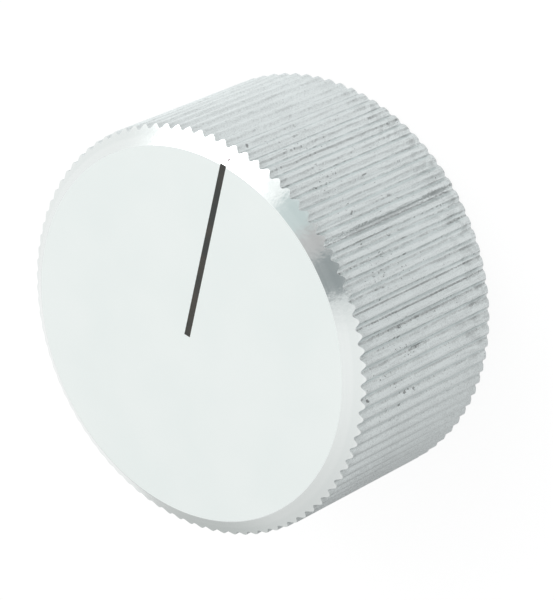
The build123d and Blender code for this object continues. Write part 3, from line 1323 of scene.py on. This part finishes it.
# Azimuth, elevation, inner and outer angle in degrees, and colour
tent_patches = [
    (280, 0, 5, 80, (0.73, 0.73, 0.73, 1)),  # the side away from the lamp
    (250, -8, 4, 32, (0.56, 0.57, 0.565, 1)),
    (100, -30, 30, 75, (0.66, 0.67, 0.67, 1)),  # low on the camera's side
    (142, 42, 21, 40, (1.14, 1.15, 1.15, 1)),  # the wall round the lamp
    (45, 61, 8, 22, (0.77, 0.785, 0.79, 1)),  # daylight round the opening
    (88, 57.5, 5.5, 10, (0.64, 0.71, 0.715, 1)),
    (68, 60.6, 3.0, 8, (0.56, 0.545, 0.55, 1)),
    (43.8, 61.2, 5.6, 9.6, (0.335, 0.36, 0.37, 1)),  # the opening that the camera looks through
    (47.5, 61.3, 0.4, 2.0, (0.40, 0.415, 0.42, 1)),
]


def mix_shaders(sheet, share, first, second):
    """A shader between two others."""
    made = sheet.node("ShaderNodeMixShader")
    for socket, value in zip(made.inputs, (share, first, second)):
        sheet.plug(socket, value)
    return made.outputs[0]


def seen_directly(sheet):
    """1 for the camera's rays, also after they pass through something clear."""
    ray = sheet.node("ShaderNodeLightPath").outputs
    return sheet.larger(ray["Is Camera Ray"], ray["Is Transmission Ray"])


def tent():
    """The world: a white tent for metal and light, and plain white for the camera."""
    world = bpy.data.worlds.new("white_tent")
    world.use_nodes = True
    sheet = Sheet(world.node_tree)
    sheet.tree.nodes.clear()
    ray = sheet.node("ShaderNodeTexCoord").outputs["Generated"]
    colour = (wall_level, wall_level, wall_level, 1)
    for azimuth, elevation, inner, outer, patch_colour in tent_patches:
        patch = tent_patch(sheet, ray, azimuth, elevation, inner, outer)
        colour = mix_colours(sheet, patch, colour, patch_colour)
    lit = sheet.node("ShaderNodeBackground", Color=colour, Strength=1.0).outputs[0]
    plain = sheet.node("ShaderNodeBackground", Color=(1, 1, 1, 1), Strength=1.0).outputs[0]
    seen = mix_shaders(sheet, seen_directly(sheet), lit, plain)
    sheet.node("ShaderNodeOutputWorld", Surface=seen)
    bpy.context.scene.world = world


tent()
print("tent painted with", len(tent_patches), "patches; walls at", wall_level)

# %% The floor
floor_radius = 0.065
floor_hole = knob_radius - 0.7 * mm  # its edge stays hidden under the knob
floor_gap = 0.01 * mm  # below the knob, so that no two surfaces share a place
shadow_share = 0.2  # how much of the floor's own shading the camera sees
mirrored_shading = 0.05  # and how much of it the metal mirrors
floor_level = 0.76  # the brightness that the metal mirrors, away from the patches
floor_white = 1.06  # the brightness that the camera sees, before the floor's own shading is mixed in

# Painted light and shade on the floor, which only the metal mirrors: azimuth in degrees, distance from the
# axis, inner and outer radius in mm, and change of brightness
painted_floor_light_and_shade = [
    (0, 0, 36, 60, -0.09),  # round the knob
    (0, 0, 20, 34, 0.07),
    (305, 32, 8, 40, -0.28),  # the side away from the lamp
    (150, 38, 4, 37, 0.38),  # the lamp's side
    (85, 34, 2, 26, 0.1),
    (225, 64, 8, 40, 0.24),  # behind the knob
]


def floor_patch(sheet, place, azimuth, distance, inner, outer):
    """1 near a place on the floor, 0 away from it."""
    made = sheet.node("ShaderNodeVectorMath", {"operation": "DISTANCE"})
    sheet.plug(made.inputs[0], place)
    made.inputs[1].default_value = direction(azimuth, 0) * distance
    return sheet.ramp(made.outputs["Value"], outer, inner)


def floor_material():
    """Pale paper. The camera sees it white, and the metal sees painted light and shade on it, brighter on the
    lamp's side.
    """
    material = bpy.data.materials.new("pale_paper")
    material.use_nodes = True
    sheet = Sheet(material.node_tree)
    sheet.tree.nodes.clear()
    patches = sheet.group(grain, Grains_per_mm=2.0, Patch_per_mm=0.05)["Patches"]
    tone = mix_colours(sheet, patches, (0.86, 0.86, 0.86, 1), (0.88, 0.88, 0.88, 1))
    paper = sheet.node("ShaderNodeBsdfDiffuse", Color=tone).outputs[0]

    place = in_millimetres(sheet)
    # The brightness that the metal mirrors, with painted light and shade laid on it
    level = floor_level
    for azimuth, distance, inner, outer, change in painted_floor_light_and_shade:
        patch = floor_patch(sheet, place, azimuth, distance, inner, outer)
        level = sheet.total(level, sheet.product(patch, change))
    mirrored = sheet.node("ShaderNodeEmission", Color=(1, 1, 1, 1), Strength=level).outputs[0]
    white = sheet.node("ShaderNodeEmission", Color=(1, 1, 1, 1), Strength=floor_white).outputs[0]
    clear = sheet.node("ShaderNodeBsdfTransparent").outputs[0]

    to_metal = sheet.product(sheet.node("ShaderNodeLightPath").outputs["Is Glossy Ray"], 1 - mirrored_shading)
    to_camera = sheet.product(seen_directly(sheet), 1 - shadow_share)
    from_below = sheet.node("ShaderNodeNewGeometry").outputs["Backfacing"]
    surface = paper
    for share, over in ((to_metal, mirrored), (to_camera, white), (from_below, clear)):
        surface = mix_shaders(sheet, share, surface, over)
    sheet.node("ShaderNodeOutputMaterial", Surface=surface)
    return material


def ring_object(name, inner, outer, height, sides=96):
    """A flat ring at this height, facing up."""
    mesh = bpy.data.meshes.new(name)
    rounds = [direction(360 * i / sides, 0) for i in range(sides)]
    corners = [(way.x * radius, way.y * radius, height) for radius in (inner, outer) for way in rounds]
    quads = [(i, sides + i, sides + (i + 1) % sides, (i + 1) % sides) for i in range(sides)]
    mesh.from_pydata(corners, [], quads)
    made = bpy.data.objects.new(name, mesh)
    bpy.context.scene.collection.objects.link(made)
    return made


floor = ring_object("floor", floor_hole, floor_radius, -floor_gap)
floor.data.materials.append(floor_material())
print("floor:", floor_radius / mm, "mm in radius")

# %% The soft lamp
lamp_azimuth, lamp_elevation = 142, 43
lamp_distance = 0.35
lamp_half_angle = 22
lamp_level = 1.25  # brightness of its face, where 1 is the tent's white


def soft_lamp():
    """A round area lamp that looks at the knob."""
    radius = lamp_distance * tan(radians(lamp_half_angle))
    data = bpy.data.lights.new("soft_lamp", "AREA")
    data.shape = "DISK"
    data.size = 2 * radius
    data.energy = lamp_level * pi * pi * radius ** 2
    lamp = bpy.data.objects.new("soft_lamp", data)
    away = direction(lamp_azimuth, lamp_elevation)
    lamp.location = away * lamp_distance
    lamp.rotation_euler = away.to_track_quat("Z", "Y").to_euler()
    bpy.context.scene.collection.objects.link(lamp)
    return lamp


lamp = soft_lamp()
print("soft lamp:", round(lamp.data.size / mm), "mm across,", round(lamp.data.energy, 3), "W")

# %% [markdown]
# ## The camera
#
# The photo was taken from above and beside the knob, with a long lens, and the camera was tilted far
# over. The camera is placed by the direction that it looks from, the point that it looks at, its distance
# and its roll.

# %% The camera
image_width, image_height = 555, 600
focal_pixels = 3627  # focal length, in pixels of the photo
camera_azimuth, camera_elevation = 46.73, 46.20
camera_distance = 0.3243
camera_roll = 114.77  # how far the camera leans to its right
camera_target = Vector((2.12 * mm, 1.55 * mm, knob_length / 2))


def photo_camera():
    """The camera of the photo."""
    data = bpy.data.cameras.new("camera")
    data.sensor_width = 36.0
    data.lens = focal_pixels * data.sensor_width / max(image_width, image_height)
    data.clip_start = 0.01
    back = direction(camera_azimuth, camera_elevation)
    upright = back.to_track_quat("Z", "Y").to_matrix()
    turned = upright @ Matrix.Rotation(radians(-camera_roll), 3, "Z")
    made = bpy.data.objects.new("camera", data)
    made.matrix_world = Matrix.Translation(camera_target + back * camera_distance) @ turned.to_4x4()
    bpy.context.scene.collection.objects.link(made)
    bpy.context.scene.camera = made
    return made


camera = photo_camera()
bpy.context.scene.view_settings.view_transform = "Standard"
print("camera at", [round(c, 4) for c in camera.location], "with a", round(camera.data.lens, 1), "mm lens")
